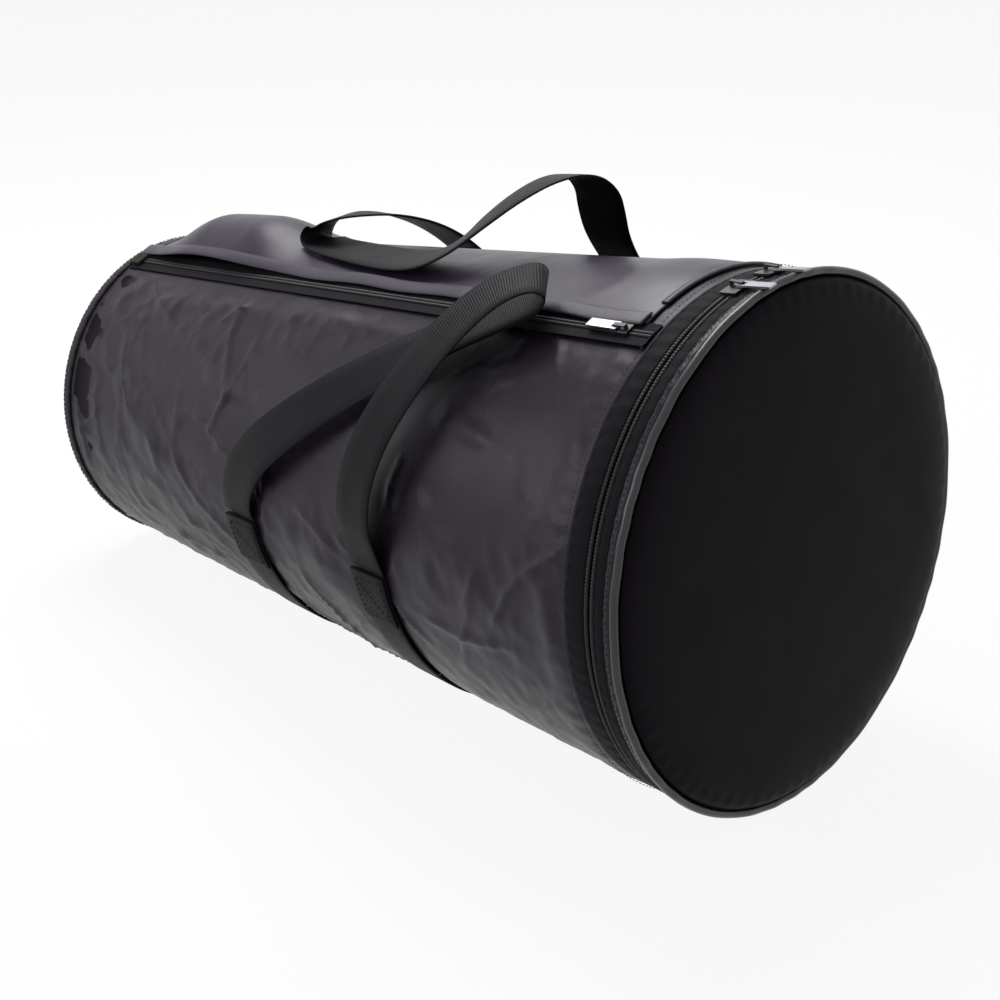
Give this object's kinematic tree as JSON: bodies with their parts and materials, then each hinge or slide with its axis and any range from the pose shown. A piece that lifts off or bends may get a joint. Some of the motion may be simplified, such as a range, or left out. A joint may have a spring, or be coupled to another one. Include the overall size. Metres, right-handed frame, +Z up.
{
  "type": "telescope carry case",
  "caption": "Tapered padded soft case for a telescope tube, with a zipped round lid, webbing carry handles and a flat top pocket.",
  "frame": {"origin": "on the floor under the middle of the bag, half way along its length and width", "axes": "+X along the bag towards the zipped lid, +Z up, so that the handle hanging on the bag's side is at -Y"},
  "size_m": [0.7259, 0.38, 0.3982],
  "materials": {
    "nylon": "crinkled coated nylon",
    "lid_nylon": "smooth coated nylon",
    "foam": "closed-cell foam",
    "lining": "plain woven lining",
    "board": "matt",
    "webbing": "ribbed webbing",
    "zip_tape": "woven tape",
    "zip_coil": "satin nylon coil",
    "piping": "satin vinyl",
    "slider_metal": "black enamel",
    "pull_metal": "satin nickel"
  },
  "bodies": {
    "root": {"base_cover": "nylon", "base_padding": "foam", "base_lining": "lining", "base_board": "board", "base_seam_tape": "webbing", "body_cover": "nylon", "body_padding": "foam", "body_lining": "lining", "mouth_binding": "zip_tape", "zip_tape_body": "zip_tape", "zip_coil_body": "zip_coil", "zip_end_stops": "zip_coil", "lid_hinge_fabric": "zip_tape", "rear_girth_strap": "webbing", "front_girth_strap": "webbing", "near_handle_ends": "webbing", "far_handle_ends": "webbing", "pocket_panel": "nylon", "pocket_lip": "nylon", "pocket_zip_tape_near": "zip_tape", "pocket_zip_tape_far": "zip_tape", "pocket_zip_coils": "zip_coil", "pocket_zip_tab": "webbing"},
    "lid": {"zip_tape_lid": "zip_tape", "zip_coil_lid": "zip_coil", "lid_gusset": "nylon", "lid_piping": "piping", "lid_piping_core": "foam", "lid_piping_flange": "zip_tape", "lid_cover": "lid_nylon", "lid_padding": "foam", "lid_board": "board", "lid_lining": "lining"},
    "near_slider": {"near_zip_slider": "slider_metal"},
    "near_pull": {"near_zip_pull": "pull_metal"},
    "far_slider": {"far_zip_slider": "slider_metal"},
    "far_pull": {"far_zip_pull": "pull_metal"},
    "pocket_slider": {"pocket_zip_slider": "slider_metal"},
    "pocket_pull": {"pocket_zip_pull": "pull_metal"},
    "near_loop": {"near_handle": "webbing"},
    "far_loop": {"far_handle": "webbing"}
  },
  "joints": [
    {"name": "lid_hinge", "type": "hinge", "parent": "root", "child": "lid", "pos_m": [0.35806, 0, 0.00001], "axis": [0, 1, 0], "range_deg": [0, 90]},
    {"name": "near_slider_run", "type": "hinge", "parent": "root", "child": "near_slider", "pos_m": [-0.3528, 0, 0.12879], "axis": [0.9962, 0, 0.0868], "range_deg": [0, 150]},
    {"name": "far_slider_run", "type": "hinge", "parent": "root", "child": "far_slider", "pos_m": [-0.3528, 0, 0.12879], "axis": [-0.9962, 0, -0.0868], "range_deg": [0, 158]},
    {"name": "near_pull_swing", "type": "hinge", "parent": "near_slider", "child": "near_pull", "pos_m": [0.30594, -0.03124, 0.37361], "axis": [0.0143, -0.9863, -0.1644], "range_deg": [0, 125]},
    {"name": "far_pull_swing", "type": "hinge", "parent": "far_slider", "child": "far_pull", "pos_m": [0.30572, 0.00496, 0.37613], "axis": [-0.0023, -0.9997, 0.0261], "range_deg": [0, 125]},
    {"name": "pocket_slider_run", "type": "slide", "parent": "root", "child": "pocket_slider", "axis": [-0.9881, 0.0639, -0.1402], "range_m": [0, 0.555]},
    {"name": "pocket_pull_swing", "type": "hinge", "parent": "pocket_slider", "child": "pocket_pull", "pos_m": [0.25361, -0.08808, 0.34701], "axis": [-0.0002, 0.9094, 0.416], "range_deg": [0, 125]},
    {"name": "near_handle_lift", "type": "hinge", "parent": "root", "child": "near_loop", "pos_m": [0.01454, -0.16224, 0.14081], "axis": [0.9942, -0.0753, 0.0773], "range_deg": [0, 70]},
    {"name": "far_handle_lift", "type": "hinge", "parent": "root", "child": "far_loop", "pos_m": [0.01454, 0.16224, 0.14081], "axis": [-0.9942, -0.0753, -0.0773], "range_deg": [0, 95]}
  ]
}
